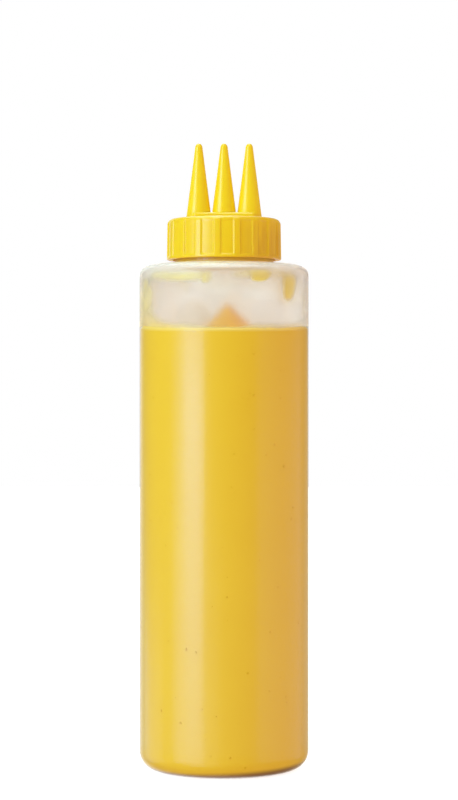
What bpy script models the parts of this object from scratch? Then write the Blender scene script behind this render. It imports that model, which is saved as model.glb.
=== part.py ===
"""Squeeze bottle with a cap of three nozzles, filled with a thick sauce.

Metres, +Z up. The origin is the centre of the base, and the three nozzles stand in a row along X.
"""

import math

import bmesh
import bpy

MM = 0.001
CLEARANCE = 0.3 * MM  # left between pieces that touch
OVERSHOOT = 1.0 * MM  # how far a cutter runs past what it cuts
SMOOTH_DEG = 35  # edges flatter than this are shaded smooth

# Bottle
BODY_RADIUS = 34.15 * MM
BODY_WALL = 1.1 * MM
BODY_SEGMENTS = 48
BODY_CORNER_STEPS = 5  # facets in the round of the base corner and of the shoulder
BASE_CORNER = 7.4 * MM
BASE_RECESS = 1.8 * MM
RECESS_RADIUS = 21.5 * MM
STANDING_RING_INNER = 23.5 * MM
BASE_THICKENING = 0.5 * MM  # the floor of the recess is this much thicker than the wall
SHOULDER_CENTRE_Z = 199.0 * MM
SHOULDER_WIDTH = 5.8 * MM
SHOULDER_RISE = 4.2 * MM
SHOULDER_TOP_Z = 203.5 * MM
NECK_COLLAR_RADIUS = 19.9 * MM
NECK_COLLAR_TOP_Z = 206.4 * MM
NECK_RADIUS = 19.2 * MM
NECK_BORE_RADIUS = 17.8 * MM
NECK_FILLET = 0.7 * MM

# Cap
CAP_BOTTOM_Z = 205.2 * MM
CAP_TOP_Z = 221.7 * MM
CAP_RADIUS = 23.1 * MM
CAP_DRAFT = 0.2 * MM  # how much narrower the skirt is at its top
CAP_TOP_CORNER = 2.3 * MM
CAP_CORNER_STEPS = 4
CAP_LIP_HEIGHT = 1.1 * MM
CAP_LIP_CORNER = 0.45 * MM
CAP_BORE_RADIUS = 20.9 * MM
CAP_PLATE = 1.6 * MM
RIB_COUNT = 18
RIB_DEPTH = 0.5 * MM
RIB_START_DEG = 8.9  # left side of the first rib, from the front (-Y) towards +X
RIB_WIDTH_DEG = 8.5
RIB_SIDE_DEG = 1.6
RIB_FADE_STEPS = 3  # steps of the top corner over which the recesses run out

# Bar and nozzles on the cap
BAR_TOP_Z = 224.3 * MM
BAR_HALF_LENGTH = 13.0 * MM
BAR_HALF_DEPTH = 5.6 * MM
BAR_CORNER = 2.0 * MM
BAR_CORNER_STEPS = 3
ROOT_DEPTH = 0.8 * MM  # how deep the bar and the nozzles are rooted in the cap's top plate
NOZZLE_SPACING = 10.2 * MM
NOZZLE_FOOT_RADIUS = 5.18 * MM  # at the cap's top
NOZZLE_TAPER = 0.1275  # radius lost for each unit of height
NOZZLE_TIP_Z = 252.3 * MM
NOZZLE_TIP_RISE = 2.1 * MM  # height of the domed tip
NOZZLE_TIP_BLEND = 0.3 * MM  # the cone ends this far below the dome
NOZZLE_TIP_BLEND_DEG = 12  # where the dome leaves the cone
NOZZLE_TIP_STEPS = 4
NOZZLE_WALL = 1.1 * MM
OUTLET_RADIUS = 0.45 * MM
OUTLET_RIM = 0.1 * MM  # flat ring round the outlet
OUTLET_LENGTH = 2.5 * MM
NOZZLE_SEGMENTS = 24
BORE_SEGMENTS = 12

# Screw thread under the cap
THREAD_PITCH = 4.0 * MM
THREAD_TURNS = 1.25
THREAD_START_Z = 210.6 * MM
THREAD_FOOT = 1.4 * MM
THREAD_CREST = 0.7 * MM
NECK_THREAD_CREST_RADIUS = 20.1 * MM
CAP_THREAD_CREST_RADIUS = 19.6 * MM
THREAD_ROOTING = 0.3 * MM  # how far a ridge is sunk into its wall
THREAD_TAPER_STEPS = 5  # sections over which each end of a ridge grows to its full height
THREAD_END_HEIGHT = 0.1  # height of the very end, as a share of the full height

# Sauce
SAUCE_LEVEL_Z = 176.0 * MM
SAUCE_RIPPLE = 0.35 * MM
RIPPLE_ACROSS = (150.0, 40.0)  # radians a metre along X and Y
RIPPLE_ALONG = (-60.0, 110.0)
MOUND_HEIGHT = 11.7 * MM
MOUND_RADIUS = 14.0 * MM
MOUND_X = 1.4 * MM
MOUND_POWER = 1.35
MOUND_TIP_ROUND = 0.6 * MM
# Rings of the sauce's top, from the wall to the peak, as shares of its radius
SAUCE_RING_SHARES = (1.0, 0.8, 0.62, 0.48, 0.36, 0.26, 0.17, 0.09, 0.03)

# Finishes: colour with its alpha, and roughness
BOTTLE_FINISH = ((0.80, 0.77, 0.71, 0.35), 0.45)
SAUCE_FINISH = ((0.91, 0.62, 0.024, 1.0), 0.35)
CAP_FINISH = ((0.97, 0.70, 0.012, 1.0), 0.4)


def clear_scene():
    for thing in list(bpy.data.objects):
        bpy.data.objects.remove(thing, do_unlink=True)


def plain_material(name, finish, metallic=0.0):
    colour, roughness = finish
    material = bpy.data.materials.new(name)
    material.use_nodes = True
    shader = material.node_tree.nodes["Principled BSDF"]
    shader.inputs["Base Color"].default_value = colour
    shader.inputs["Roughness"].default_value = roughness
    shader.inputs["Metallic"].default_value = metallic
    shader.inputs["Alpha"].default_value = colour[3]
    return material


def add_object(name, mesh, material=None):
    thing = bpy.data.objects.new(name, mesh)
    bpy.context.collection.objects.link(thing)
    if material:
        mesh.materials.append(material)
    return thing


def finish_mesh(name, shape):
    """Turns a bmesh into a mesh whose faces point out and whose round stretches are smooth."""
    bmesh.ops.recalc_face_normals(shape, faces=shape.faces)
    mesh = bpy.data.meshes.new(name)
    shape.to_mesh(mesh)
    shape.free()
    mesh.shade_smooth()
    mesh.set_sharp_from_angle(angle=math.radians(SMOOTH_DEG))
    return mesh


def arc(centre_r, centre_z, radius_r, radius_z, start_deg, end_deg, steps):
    """Points of an elliptical arc in the (r, z) plane, both ends included."""
    points = []
    for step in range(steps + 1):
        angle = math.radians(start_deg + (end_deg - start_deg) * step / steps)
        points.append((centre_r + radius_r * math.cos(angle), centre_z + radius_z * math.sin(angle)))
    return points


def ring_points(radius, z, segments):
    turn = 2 * math.pi / segments
    return [(radius * math.sin(turn * n), -radius * math.cos(turn * n), z) for n in range(segments)]


def stacked_rings(name, rings):
    """A closed solid through rings of equal count: each ring is joined to the next, the ends are filled."""
    shape = bmesh.new()
    loops = [[shape.verts.new(point) for point in ring] for ring in rings]
    count = len(loops[0])
    for lower, upper in zip(loops, loops[1:]):
        for n in range(count):
            after = (n + 1) % count
            shape.faces.new((lower[n], lower[after], upper[after], upper[n]))
    shape.faces.new(reversed(loops[0]))
    shape.faces.new(loops[-1])
    return finish_mesh(name, shape)


def turned_solid(name, profile, segments):
    """A solid turned about Z from a profile that runs from its first disc to its last."""
    return stacked_rings(name, [ring_points(r, z, segments) for r, z in profile])


def combine(thing, tool, operation):
    """Adds the tool to the thing, or cuts it away, for good, and removes the tool."""
    modifier = thing.modifiers.new(operation.title(), "BOOLEAN")
    modifier.object = tool
    modifier.operation = operation
    modifier.solver = "EXACT"
    bpy.context.view_layer.update()
    evaluated = thing.evaluated_get(bpy.context.evaluated_depsgraph_get())
    result = bpy.data.meshes.new_from_object(evaluated)
    thing.modifiers.clear()
    thing.data = result
    bpy.data.objects.remove(tool, do_unlink=True)


def wall_profile(inset, thickening):
    """The body's outline from the edge of the base recess to the top of the shoulder, moved inward."""
    recess_z = BASE_RECESS + inset + thickening
    corner = BASE_CORNER - inset
    corner_r = BODY_RADIUS - BASE_CORNER
    shoulder_r = BODY_RADIUS - SHOULDER_WIDTH
    profile = [(RECESS_RADIUS - inset, recess_z), (STANDING_RING_INNER, inset + thickening / 2)]
    shoulder = (SHOULDER_WIDTH - inset, SHOULDER_RISE - inset)
    profile += arc(corner_r, BASE_CORNER, corner, corner, -90, 0, BODY_CORNER_STEPS)
    profile += arc(shoulder_r, SHOULDER_CENTRE_Z, *shoulder, 0, 90, BODY_CORNER_STEPS)
    return profile


def thread_ridge(name, root_radius, crest_radius, lift):
    """A helical ridge, trapezium in section, whose ends taper into the wall it stands on."""
    side = 1 if crest_radius > root_radius else -1
    buried = root_radius - side * THREAD_ROOTING
    steps = round(THREAD_TURNS * BODY_SEGMENTS)
    shape = bmesh.new()
    loops = []
    for step in range(steps + 1):
        turn = step / BODY_SEGMENTS
        angle = 2 * math.pi * turn
        z = THREAD_START_Z + lift + THREAD_PITCH * turn
        full = min(1.0, THREAD_END_HEIGHT + min(step, steps - step) / THREAD_TAPER_STEPS)
        crest = root_radius + (crest_radius - root_radius) * full
        section = [
            (buried, -THREAD_FOOT / 2),
            (crest, -THREAD_CREST / 2),
            (crest, THREAD_CREST / 2),
            (buried, THREAD_FOOT / 2),
        ]
        loops.append(
            [shape.verts.new((r * math.sin(angle), -r * math.cos(angle), z + dz)) for r, dz in section]
        )
    for before, after in zip(loops, loops[1:]):
        for n in range(len(before)):
            m = (n + 1) % len(before)
            shape.faces.new((before[n], before[m], after[m], after[n]))
    shape.faces.new(loops[0])
    shape.faces.new(reversed(loops[-1]))
    return add_object(name, finish_mesh(name, shape))


def make_bottle():
    """A hollow body open at its neck, with a recessed base that leaves a flat standing ring."""
    neck_top = CAP_TOP_Z - CAP_PLATE - CLEARANCE
    outside = wall_profile(0.0, 0.0)
    outside += [
        (NECK_COLLAR_RADIUS + NECK_FILLET, SHOULDER_TOP_Z),
        (NECK_COLLAR_RADIUS, SHOULDER_TOP_Z + NECK_FILLET),
        (NECK_COLLAR_RADIUS, NECK_COLLAR_TOP_Z),
        (NECK_RADIUS, NECK_COLLAR_TOP_Z + NECK_FILLET),
        (NECK_RADIUS, neck_top),
    ]
    inside = wall_profile(BODY_WALL, BASE_THICKENING)
    inside += [
        (NECK_BORE_RADIUS + NECK_FILLET, SHOULDER_TOP_Z - BODY_WALL),
        (NECK_BORE_RADIUS, SHOULDER_TOP_Z - BODY_WALL + NECK_FILLET),
        (NECK_BORE_RADIUS, neck_top),
    ]
    profile = outside + inside[::-1]
    material = plain_material("bottle_plastic", BOTTLE_FINISH)
    bottle = add_object("bottle", turned_solid("bottle", profile, BODY_SEGMENTS), material)
    ridge = thread_ridge("neck_thread", NECK_RADIUS, NECK_THREAD_CREST_RADIUS, 0.0)
    combine(bottle, ridge, "UNION")
    return bottle


def rib_ring(radius, depth, z):
    """One ring of the skirt: each rib has two points on its crest and two at its foot."""
    pitch = 360 / RIB_COUNT
    points = []
    for rib in range(RIB_COUNT):
        start = RIB_START_DEG + pitch * rib
        end = start + RIB_WIDTH_DEG
        stops = [
            (start, radius - depth),
            (start + RIB_SIDE_DEG, radius),
            (end - RIB_SIDE_DEG, radius),
            (end, radius - depth),
        ]
        for degrees, r in stops:
            angle = math.radians(degrees)
            points.append((r * math.sin(angle), -r * math.cos(angle), z))
    return points


def cap_shell():
    """The cap without its nozzles: a ribbed skirt, a smooth lip below it and a flat top."""
    top_radius = CAP_RADIUS - CAP_DRAFT
    lip_z = CAP_BOTTOM_Z + CAP_LIP_HEIGHT
    corner_z = CAP_TOP_Z - CAP_TOP_CORNER
    rings = [
        rib_ring(CAP_BORE_RADIUS, 0.0, CAP_TOP_Z - CAP_PLATE),
        rib_ring(CAP_BORE_RADIUS, 0.0, CAP_BOTTOM_Z),
        rib_ring(CAP_RADIUS - CAP_LIP_CORNER, 0.0, CAP_BOTTOM_Z),
        rib_ring(CAP_RADIUS, 0.0, CAP_BOTTOM_Z + CAP_LIP_CORNER),
        rib_ring(CAP_RADIUS, 0.0, lip_z - CAP_LIP_CORNER),
        rib_ring(CAP_RADIUS, RIB_DEPTH, lip_z),
    ]
    corner_r = top_radius - CAP_TOP_CORNER
    corner = arc(corner_r, corner_z, CAP_TOP_CORNER, CAP_TOP_CORNER, 0, 90, CAP_CORNER_STEPS)
    for n, (r, z) in enumerate(corner):
        fade = max(0.0, 1 - n / RIB_FADE_STEPS)
        rings.append(rib_ring(r, RIB_DEPTH * fade, z))
    return stacked_rings("cap", rings)


def nozzle_bar():
    """The bar that the nozzles stand on, a block with rounded upright edges."""
    outline = []
    for corner, (side_x, side_y) in enumerate(((1, 1), (-1, 1), (-1, -1), (1, -1))):
        outline += arc(
            side_x * (BAR_HALF_LENGTH - BAR_CORNER),
            side_y * (BAR_HALF_DEPTH - BAR_CORNER),
            BAR_CORNER,
            BAR_CORNER,
            90 * corner,
            90 * corner + 90,
            BAR_CORNER_STEPS,
        )
    rings = [[(x, y, z) for x, y in outline] for z in (CAP_TOP_Z - ROOT_DEPTH, BAR_TOP_Z)]
    return add_object("bar", stacked_rings("bar", rings))


def nozzle_radius(z):
    return NOZZLE_FOOT_RADIUS - NOZZLE_TAPER * (z - CAP_TOP_Z)


def nozzle_cone(x):
    """A tapered nozzle with a domed tip, rooted in the cap's top plate."""
    foot_z = CAP_TOP_Z - ROOT_DEPTH
    dome_z = NOZZLE_TIP_Z - NOZZLE_TIP_RISE
    dome_radius = nozzle_radius(dome_z)
    rim = math.acos((OUTLET_RADIUS + OUTLET_RIM) / dome_radius)
    rim_deg = math.degrees(rim)
    dome_height = NOZZLE_TIP_RISE / math.sin(rim)
    dome = arc(0, dome_z, dome_radius, dome_height, NOZZLE_TIP_BLEND_DEG, rim_deg, NOZZLE_TIP_STEPS)
    cone_top_z = dome_z - NOZZLE_TIP_BLEND
    profile = [(nozzle_radius(foot_z), foot_z), (nozzle_radius(cone_top_z), cone_top_z)] + dome
    cone = add_object("nozzle", turned_solid("nozzle", profile, NOZZLE_SEGMENTS))
    cone.location.x = x
    return cone


def nozzle_bore(x):
    """The passage through a nozzle: a cone from the cap's inside, then a narrow straight outlet."""
    foot_z = CAP_TOP_Z - CAP_PLATE - OVERSHOOT
    outlet_z = NOZZLE_TIP_Z - OUTLET_LENGTH
    profile = [
        (nozzle_radius(foot_z) - NOZZLE_WALL, foot_z),
        (OUTLET_RADIUS, outlet_z),
        (OUTLET_RADIUS, NOZZLE_TIP_Z + OVERSHOOT),
    ]
    bore = add_object("bore", turned_solid("bore", profile, BORE_SEGMENTS))
    bore.location.x = x
    return bore


def make_cap():
    """One moulding: skirt, bar and three hollow nozzles, with a thread inside."""
    material = plain_material("cap_plastic", CAP_FINISH)
    cap = add_object("cap", cap_shell(), material)
    combine(cap, nozzle_bar(), "UNION")
    places = [side * NOZZLE_SPACING for side in (-1, 0, 1)]
    for x in places:
        combine(cap, nozzle_cone(x), "UNION")
    for x in places:
        combine(cap, nozzle_bore(x), "DIFFERENCE")
    lift = -(THREAD_FOOT + CLEARANCE)
    ridge = thread_ridge("cap_thread", CAP_BORE_RADIUS, CAP_THREAD_CREST_RADIUS, lift)
    combine(cap, ridge, "UNION")
    cap.data.shade_smooth()
    cap.data.set_sharp_from_angle(angle=math.radians(SMOOTH_DEG))
    return cap


def sauce_height(x, y):
    """The top of the sauce: slow ripples, and a steep-sided mound that ends in a blunt peak."""
    across = RIPPLE_ACROSS[0] * x + RIPPLE_ACROSS[1] * y
    along = RIPPLE_ALONG[0] * x + RIPPLE_ALONG[1] * y
    ripple = math.sin(across) * math.cos(along)
    away = math.hypot(x - MOUND_X, y)
    slope = max(0.0, 1 - (math.hypot(away, MOUND_TIP_ROUND) - MOUND_TIP_ROUND) / MOUND_RADIUS)
    calm = min(1.0, away / MOUND_RADIUS) * max(0.0, 1 - (math.hypot(x, y) / BODY_RADIUS) ** 2)
    return SAUCE_LEVEL_Z + SAUCE_RIPPLE * ripple * calm + MOUND_HEIGHT * slope**MOUND_POWER


def make_sauce():
    """The sauce fills the bottle from its floor to the level, a hair clear of the wall."""
    inset = BODY_WALL + CLEARANCE
    side = [point for point in wall_profile(inset, BASE_THICKENING) if point[1] < SHOULDER_CENTRE_Z]
    radius = BODY_RADIUS - inset
    rings = [ring_points(r, z, BODY_SEGMENTS) for r, z in side]
    for share in SAUCE_RING_SHARES:
        centre_x = MOUND_X * (1 - share)
        flat = ring_points(radius * share, 0.0, BODY_SEGMENTS)
        rings.append([(x + centre_x, y, sauce_height(x + centre_x, y)) for x, y, _ in flat])
    material = plain_material("sauce", SAUCE_FINISH)
    return add_object("sauce", stacked_rings("sauce", rings), material)


clear_scene()
make_bottle()
make_sauce()
make_cap()
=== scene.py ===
# A translucent squeeze bottle of yellow sauce under a ribbed cap with three nozzles.
# Metres, +Z up, the front of the bottle towards -Y.
import math

import bpy
import numpy as np
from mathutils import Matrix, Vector


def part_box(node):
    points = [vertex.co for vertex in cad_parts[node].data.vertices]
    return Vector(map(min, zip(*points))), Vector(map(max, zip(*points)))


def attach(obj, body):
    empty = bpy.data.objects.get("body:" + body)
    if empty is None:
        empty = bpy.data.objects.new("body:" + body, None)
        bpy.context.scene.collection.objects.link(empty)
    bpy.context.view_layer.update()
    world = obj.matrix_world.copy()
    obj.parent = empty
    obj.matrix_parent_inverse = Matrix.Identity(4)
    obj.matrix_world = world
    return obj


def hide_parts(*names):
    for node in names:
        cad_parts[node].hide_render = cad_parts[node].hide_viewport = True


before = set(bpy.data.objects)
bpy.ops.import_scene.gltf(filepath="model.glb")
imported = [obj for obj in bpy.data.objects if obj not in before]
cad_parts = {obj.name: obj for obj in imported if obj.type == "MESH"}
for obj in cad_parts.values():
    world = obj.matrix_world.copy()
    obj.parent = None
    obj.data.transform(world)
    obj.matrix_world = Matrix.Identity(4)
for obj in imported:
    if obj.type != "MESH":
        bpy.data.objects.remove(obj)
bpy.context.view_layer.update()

mm = 0.001
hair = 0.01 * mm  # places closer than this count as one
poleRadius = 1 * mm  # where a turned surface ends and the fan to its pole starts
rng = np.random.default_rng(24)
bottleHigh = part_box("bottle")[1]
capLow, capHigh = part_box("cap")


# small tools for outlines and meshes

def ellipseArc(centreR, centreZ, radiusR, radiusZ, startDeg, endDeg, steps):
    # (r, z) = centre + (radiusR cos a, radiusZ sin a), a from start to end
    a = np.radians(np.linspace(startDeg, endDeg, steps))
    return np.stack([centreR + radiusR * np.cos(a), centreZ + radiusZ * np.sin(a)], axis=1)


def straight(start, end, steps):
    # start + s (end - start), s from 0 to 1
    s = np.linspace(0, 1, steps)[:, None]
    return np.array(start) + s * (np.array(end) - np.array(start))


def joinRuns(*runs):
    # runs of (r, z) points end to end, without points closer than a micron to the one before
    points = np.concatenate([np.atleast_2d(run) for run in runs])
    apart = np.linalg.norm(np.diff(points, axis=0), axis=1) > 1e-6
    return points[np.concatenate([[True], apart])]


def fullTurn(steps):
    return np.linspace(0, 2 * np.pi, steps, endpoint=False)


def turnProfile(profile, segments):
    # grid[i, j] = (r_i sin t_j, -r_i cos t_j, z_i): a turned surface, t = 0 at the front
    t = fullTurn(segments)
    r, z = profile[:, :1], profile[:, 1:]
    return np.stack([r * np.sin(t), -r * np.cos(t), z + 0 * t], axis=2)


def wrapFaces(rows, columns):
    # quads between neighbouring rows, closed round the columns
    i, j = np.meshgrid(np.arange(rows - 1), np.arange(columns), indexing="ij")
    after = (j + 1) % columns
    below, above = i * columns, (i + 1) * columns
    return np.stack([below + j, below + after, above + after, above + j], axis=-1).reshape(-1, 4)


def poleFans(rows, columns):
    # triangles from the first and the last row to the two poles, which are the vertices after the grid's
    ring = np.arange(columns)
    after = (ring + 1) % columns
    lastRow = (rows - 1) * columns
    bottom = np.stack([np.full(columns, rows * columns), after, ring], axis=1)
    top = np.stack([np.full(columns, rows * columns + 1), lastRow + ring, lastRow + after], axis=1)
    return np.concatenate([bottom, top])


def meshFrom(name, points, faces, sharpDeg=40):
    # a mesh piece, turned right side out if its volume comes out negative
    points = points.reshape(-1, 3)
    corners = np.array([list(face) + [face[-1]] * (4 - len(face)) for face in faces])
    a, b, c, d = (points[corners[:, k]] for k in range(4))
    volume = np.einsum("ij,ij->", a, np.cross(b, c) + np.cross(c, d)) / 6
    mesh = bpy.data.meshes.new(name)
    mesh.from_pydata(points.tolist(), [], [face[::-1] if volume < 0 else face for face in faces])
    mesh.validate()
    mesh.shade_smooth()
    mesh.set_sharp_from_angle(angle=math.radians(sharpDeg))
    piece = bpy.data.objects.new(name, mesh)
    bpy.context.scene.collection.objects.link(piece)
    return piece


def closedTurn(name, grid, sharpDeg=40):
    # a grid closed round its columns, with a fan to a pole at each end
    rows, columns = grid.shape[:2]
    poles = np.stack([grid[0].mean(axis=0), grid[-1].mean(axis=0)])
    points = np.concatenate([grid.reshape(-1, 3), poles])
    faces = wrapFaces(rows, columns).tolist() + poleFans(rows, columns).tolist()
    return meshFrom(name, points, faces, sharpDeg)


def ringTurn(name, grid, sharpDeg=40):
    # a grid closed both ways: round its columns, and from its last row back to its first
    rows, columns = grid.shape[:2]
    faces = wrapFaces(rows + 1, columns) % (rows * columns)
    return meshFrom(name, grid, faces.tolist(), sharpDeg)


def shellFaces(rows, columns):
    # the faces of a thin closed shell: an outer grid, an inner grid after it, and the rim between them
    i, j = np.meshgrid(np.arange(rows - 1), np.arange(columns - 1), indexing="ij")
    corner = (i * columns + j).ravel()
    outer = np.stack([corner, corner + 1, corner + columns + 1, corner + columns], axis=1)
    inner = outer[:, ::-1] + rows * columns
    across, up = np.arange(columns - 1), np.arange(rows - 1)
    edge = np.concatenate([across, (up + 1) * columns - 1, rows * columns - 1 - across,
                           (rows - 1 - up) * columns])
    after = np.roll(edge, -1)
    rim = np.stack([after, edge, edge + rows * columns, after + rows * columns], axis=1)
    return np.concatenate([outer, inner, rim])


def waves(x, y, seed):
    # a smooth uneven field between about -1 and 1: sum of sin(kx x + ky y + phase) / sqrt(count), k random
    pick = np.random.default_rng(seed)
    count = 7
    kx, ky, phase = pick.normal(0, 1, count), pick.normal(0, 1, count), pick.uniform(0, 2 * np.pi, count)
    return sum(np.sin(kx[n] * x + ky[n] * y + phase[n]) for n in range(count)) / count**0.5


def smoothStep(x, low, high):
    # 3 s^2 - 2 s^3 with s = (x - low) / (high - low), kept within 0 and 1
    s = np.clip((x - low) / (high - low), 0, 1)
    return s * s * (3 - 2 * s)


# shader maths

class Wire:
    # one socket of a node tree, which takes part in sums as a number does
    def __init__(self, tree, socket):
        self.tree, self.socket = tree, socket

    def math(self, operation, *others, **settings):
        return addNode(self.tree, "ShaderNodeMath", {"operation": operation, **settings},
                       dict(enumerate((self,) + others)))

    def __add__(self, other):
        return self.math("ADD", other)

    def __mul__(self, other):
        return self.math("MULTIPLY", other)

    def __sub__(self, other):
        return self.math("SUBTRACT", other)

    def __pow__(self, other):
        return self.math("POWER", other)

    def __neg__(self):
        return self.math("MULTIPLY", -1.0)

    def __rsub__(self, other):
        return -self + other

    __radd__ = __add__
    __rmul__ = __mul__


def addNode(tree, kind, settings, inputs, out=0):
    # any node: its settings first, then the values or links of its sockets by name or number
    node = tree.nodes.new(kind)
    for key, value in settings.items():
        setattr(node, key, value)
    for key, value in inputs.items():
        if isinstance(value, Wire):
            tree.links.new(value.socket, node.inputs[key])
        else:
            node.inputs[key].default_value = value
    return Wire(tree, node.outputs[out])


def axisOf(place, axis):
    return addNode(place.tree, "ShaderNodeSeparateXYZ", {}, {0: place}, axis)


def ramp(mask, low, high):
    # 0 below low, 1 above high, smooth between
    return addNode(mask.tree, "ShaderNodeMapRange", {"interpolation_type": "SMOOTHSTEP"},
                   {"Value": mask, "From Min": low, "From Max": high})


def fall(mask, low, high):
    # 1 below low, 0 above high, smooth between
    return ramp(-mask, -high, -low)


def mixColour(mask, colourA, colourB):
    return addNode(mask.tree, "ShaderNodeMix", {"data_type": "RGBA"}, {0: mask, 6: colourA, 7: colourB}, 2)


def mixShader(share, shaderA, shaderB):
    return addNode(share.tree, "ShaderNodeMixShader", {}, {0: share, 1: shaderA, 2: shaderB})


def noise(place, scale, detail=2.0):
    return addNode(place.tree, "ShaderNodeTexNoise", {}, {"Vector": place, "Scale": scale, "Detail": detail})


def stretched(place, scale):
    return addNode(place.tree, "ShaderNodeMapping", {}, {"Vector": place, "Scale": scale})


def grainBump(place, scale, strength, depth):
    # a fine noise as small hills
    return addNode(place.tree, "ShaderNodeBump", {},
                   {"Height": noise(place, scale), "Strength": strength, "Distance": depth})


def turnedAway(tree):
    # 0 where the wall faces the viewer, 1 where it is seen edge on
    return addNode(tree, "ShaderNodeLayerWeight", {}, {"Blend": 0.5}, "Facing")


def dimmed(colour, share):
    return tuple(c * share for c in colour[:3]) + (1,)


def startMaterial(name, plain):
    # a Principled material with its plain values set, its shader, and its tree's Object coordinates
    material = bpy.data.materials.new(name)
    material.use_nodes = True
    shader = material.node_tree.nodes["Principled BSDF"]
    for key, value in plain.items():
        shader.inputs[key].default_value = value
    return material, shader, addNode(material.node_tree, "ShaderNodeTexCoord", {}, {}, "Object")


def plug(node, name, wire):
    wire.tree.links.new(wire.socket, node.inputs[name])


def plugSurface(wall):
    plug(wall.tree.nodes["Material Output"], "Surface", wall)


# materials

def softSpot(x, z, middleX, middleZ, wide, tall):
    # 1 in the middle of an ellipse (mm), 0 from its edge outward: falls with (dx / wide)^2 + (dz / tall)^2
    core = 0.15  # the spot is full up to here
    across = (x - middleX * mm) * (1 / (wide * mm))
    up = (z - middleZ * mm) * (1 / (tall * mm))
    return fall(across ** 2 + up ** 2, core, 1.0)


def frostedPlastic():
    # dry plastic over the headspace: a matt clear wall with a trace of milk, milkier where it is seen through
    # its thickness: share of milk = rimMilk turnedAway^4 + shoulderMilk on the shoulder + wallMilk
    look = {
        "cool": (0.945, 0.92, 0.90, 1), "peach": (0.985, 0.93, 0.87, 1), "top": (0.975, 0.975, 0.99, 1),
        "cloudScale": (95, 95, 55), "cloudDetail": 3.0, "cloud": (0.38, 0.60),
        "sheen": (0.9, 0.6, 0.35, 1), "roughness": 0.25, "ior": 1.46, "clear": 0.97,
        "milk": (0.92, 0.96, 1.0, 1), "wallMilk": 0.03, "shoulderMilk": 0.17, "rimMilk": 0.24,
        "shoulderFrom": 4 * mm, "shoulderTo": 1 * mm,  # below the shoulder's start and its top
        "stain": (1.0, 0.86, 0.44, 1), "stainLeft": (29 * mm, 33 * mm), "stainHigh": 202 * mm,
        "paleTint": (0.995, 0.985, 0.965, 1), "dimTint": (0.895, 0.825, 0.73, 1),
        "grain": (700.0, 0.05, 0.2 * mm),  # scale, strength and depth, as in the other plastics
    }
    # spots where the wall's tint is paler or dimmer, so that more or less shows through it
    spots = (  # tone, x, height, half width and half height in mm
        ("paleTint", -2.0, 194.7, 11, 6), ("paleTint", 15.4, 192.3, 10, 5.5), ("paleTint", 30.5, 185.0, 8, 17),
        ("dimTint", -12.6, 181.6, 8.5, 8.5))
    material, shader, place = startMaterial("frostedPlastic", {
        "Roughness": look["roughness"], "IOR": look["ior"], "Transmission Weight": look["clear"],
        "Specular Tint": look["sheen"],
    })
    x, height = axisOf(place, "X"), axisOf(place, "Z")
    cloud = ramp(noise(stretched(place, look["cloudScale"]), 1.0, look["cloudDetail"]), *look["cloud"])
    shoulder = ramp(height, bottle["shoulderZ"] - look["shoulderFrom"],
                    bottle["shoulderTop"] - look["shoulderTo"])
    stained = ramp(-x, *look["stainLeft"]) * fall(height, sauce["level"], look["stainHigh"])
    base = mixColour(cloud, look["cool"], look["peach"])
    for tone, *ellipse in spots:
        base = mixColour(softSpot(x, height, *ellipse), base, look[tone])
    base = mixColour(shoulder, base, look["top"])
    plug(shader, "Base Color", mixColour(stained, base, look["stain"]))  # yellower where sauce clings to it
    plug(shader, "Normal", grainBump(place, *look["grain"]))
    milk = addNode(place.tree, "ShaderNodeBsdfDiffuse", {}, {"Color": look["milk"]})
    share = turnedAway(place.tree) ** 4 * look["rimMilk"] + shoulder * look["shoulderMilk"] + look["wallMilk"]
    plugSurface(mixShader(share, Wire(place.tree, shader.outputs[0]), milk))
    return material


def wettedPlastic():
    # the same wall where sauce wets it: nothing bends or blurs, a trace of milk and the outer gloss are left;
    # share of gloss = mirror + (1 - mirror) turnedAway^5
    look = {
        "milk": (0.88, 0.86, 0.80, 1), "milkShare": 0.02, "milkDim": 0.94,
        "cloudScale": 60.0, "cloudDetail": 3.0, "cloudLeast": 0.8, "cloudGain": 0.4,
        "tint": (0.99, 0.985, 0.97, 1), "gloss": 0.22, "mirror": 0.035, "grain": (500.0, 0.04, 0.2 * mm),
        "rim": (0.48, 0.75), "rimMilk": 0.16, "lowMilk": 0.02,
        "low": (35 * mm, 165 * mm), "foot": (5 * mm, 12 * mm),  # the wall is milkiest between foot and low
    }
    material, milk, place = startMaterial("wettedPlastic", {"Roughness": 0.5, "Specular IOR Level": 0.0})
    cloud = noise(place, look["cloudScale"], look["cloudDetail"])
    plug(milk, "Base Color", mixColour(cloud, look["milk"], dimmed(look["milk"], look["milkDim"])))
    clear = addNode(place.tree, "ShaderNodeBsdfTransparent", {}, {"Color": look["tint"]})
    away = turnedAway(place.tree)
    height = axisOf(place, "Z")
    low = fall(height, *look["low"]) * ramp(height, *look["foot"])
    share = (cloud * look["cloudGain"] + look["cloudLeast"]) * look["milkShare"] \
        + low * (ramp(away, *look["rim"]) * look["rimMilk"] + look["lowMilk"])
    body = mixShader(share, clear, Wire(place.tree, milk.outputs[0]))
    gloss = addNode(place.tree, "ShaderNodeBsdfAnisotropic", {},
                    {"Roughness": look["gloss"], "Normal": grainBump(place, *look["grain"])})
    plugSurface(mixShader(away ** 5 * (1 - look["mirror"]) + look["mirror"], body, gloss))
    return material


def overLine(place, low, high):
    # 0 to 1 between two heights over the contact line, which rises by (x / radius)^4 towards the sides
    line = (axisOf(place, "X") * (1 / bottle["radius"])) ** 4 * sauce["sideRise"] + sauce["level"]
    return ramp(axisOf(place, "Z") - line, low, high)


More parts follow.
